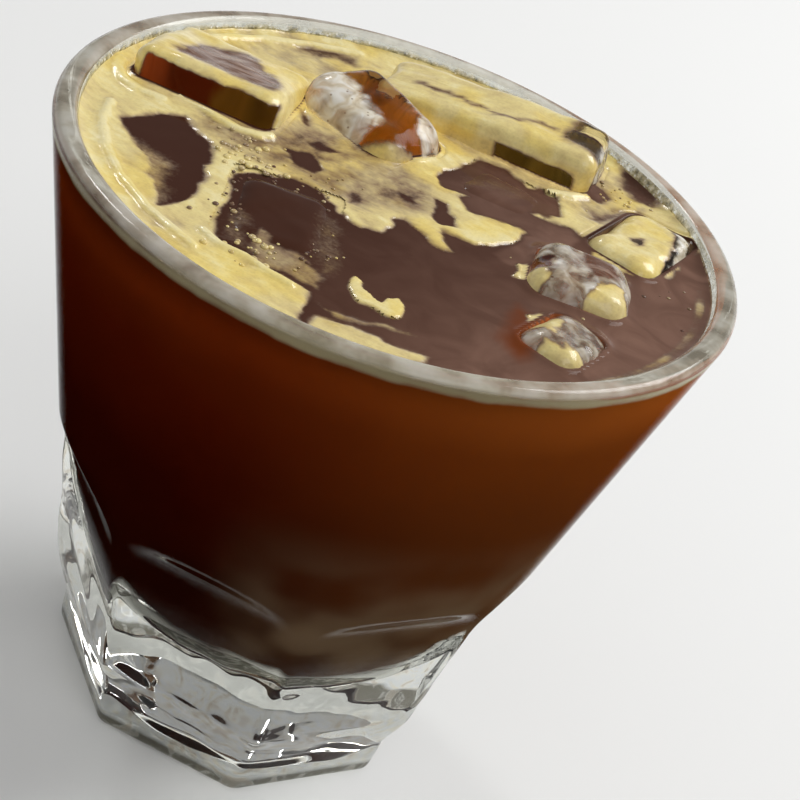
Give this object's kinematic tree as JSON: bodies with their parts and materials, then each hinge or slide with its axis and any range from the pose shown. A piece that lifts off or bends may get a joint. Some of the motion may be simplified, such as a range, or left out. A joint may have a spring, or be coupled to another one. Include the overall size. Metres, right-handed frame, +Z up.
{
  "type": "glass of iced espresso",
  "caption": "Tapered drinking glass with arched flat panels and a thick clear foot, filled nearly to the rim with black coffee, broken crema and melting ice.",
  "frame": {"origin": "middle of the glass's foot, on the surface it stands on", "axes": "+Z up along the glass's axis; +X and +Y each face the middle of a flat panel; the tallest lump of ice lies towards +Y"},
  "size_m": [0.086, 0.086, 0.0876],
  "materials": {
    "clear_glass": "polished",
    "coffee": "glossy",
    "crema": "fine foam",
    "ice": "wet"
  },
  "bodies": {
    "root": {"tumbler": "clear_glass", "coffee": "coffee", "crema": "crema", "ice_left": "ice", "ice_back": "ice", "ice_middle_left": "ice", "ice_right": "ice", "ice_right_back": "ice", "ice_right_front": "ice", "ice_front": "ice", "ice_middle": "ice"}
  },
  "joints": []
}
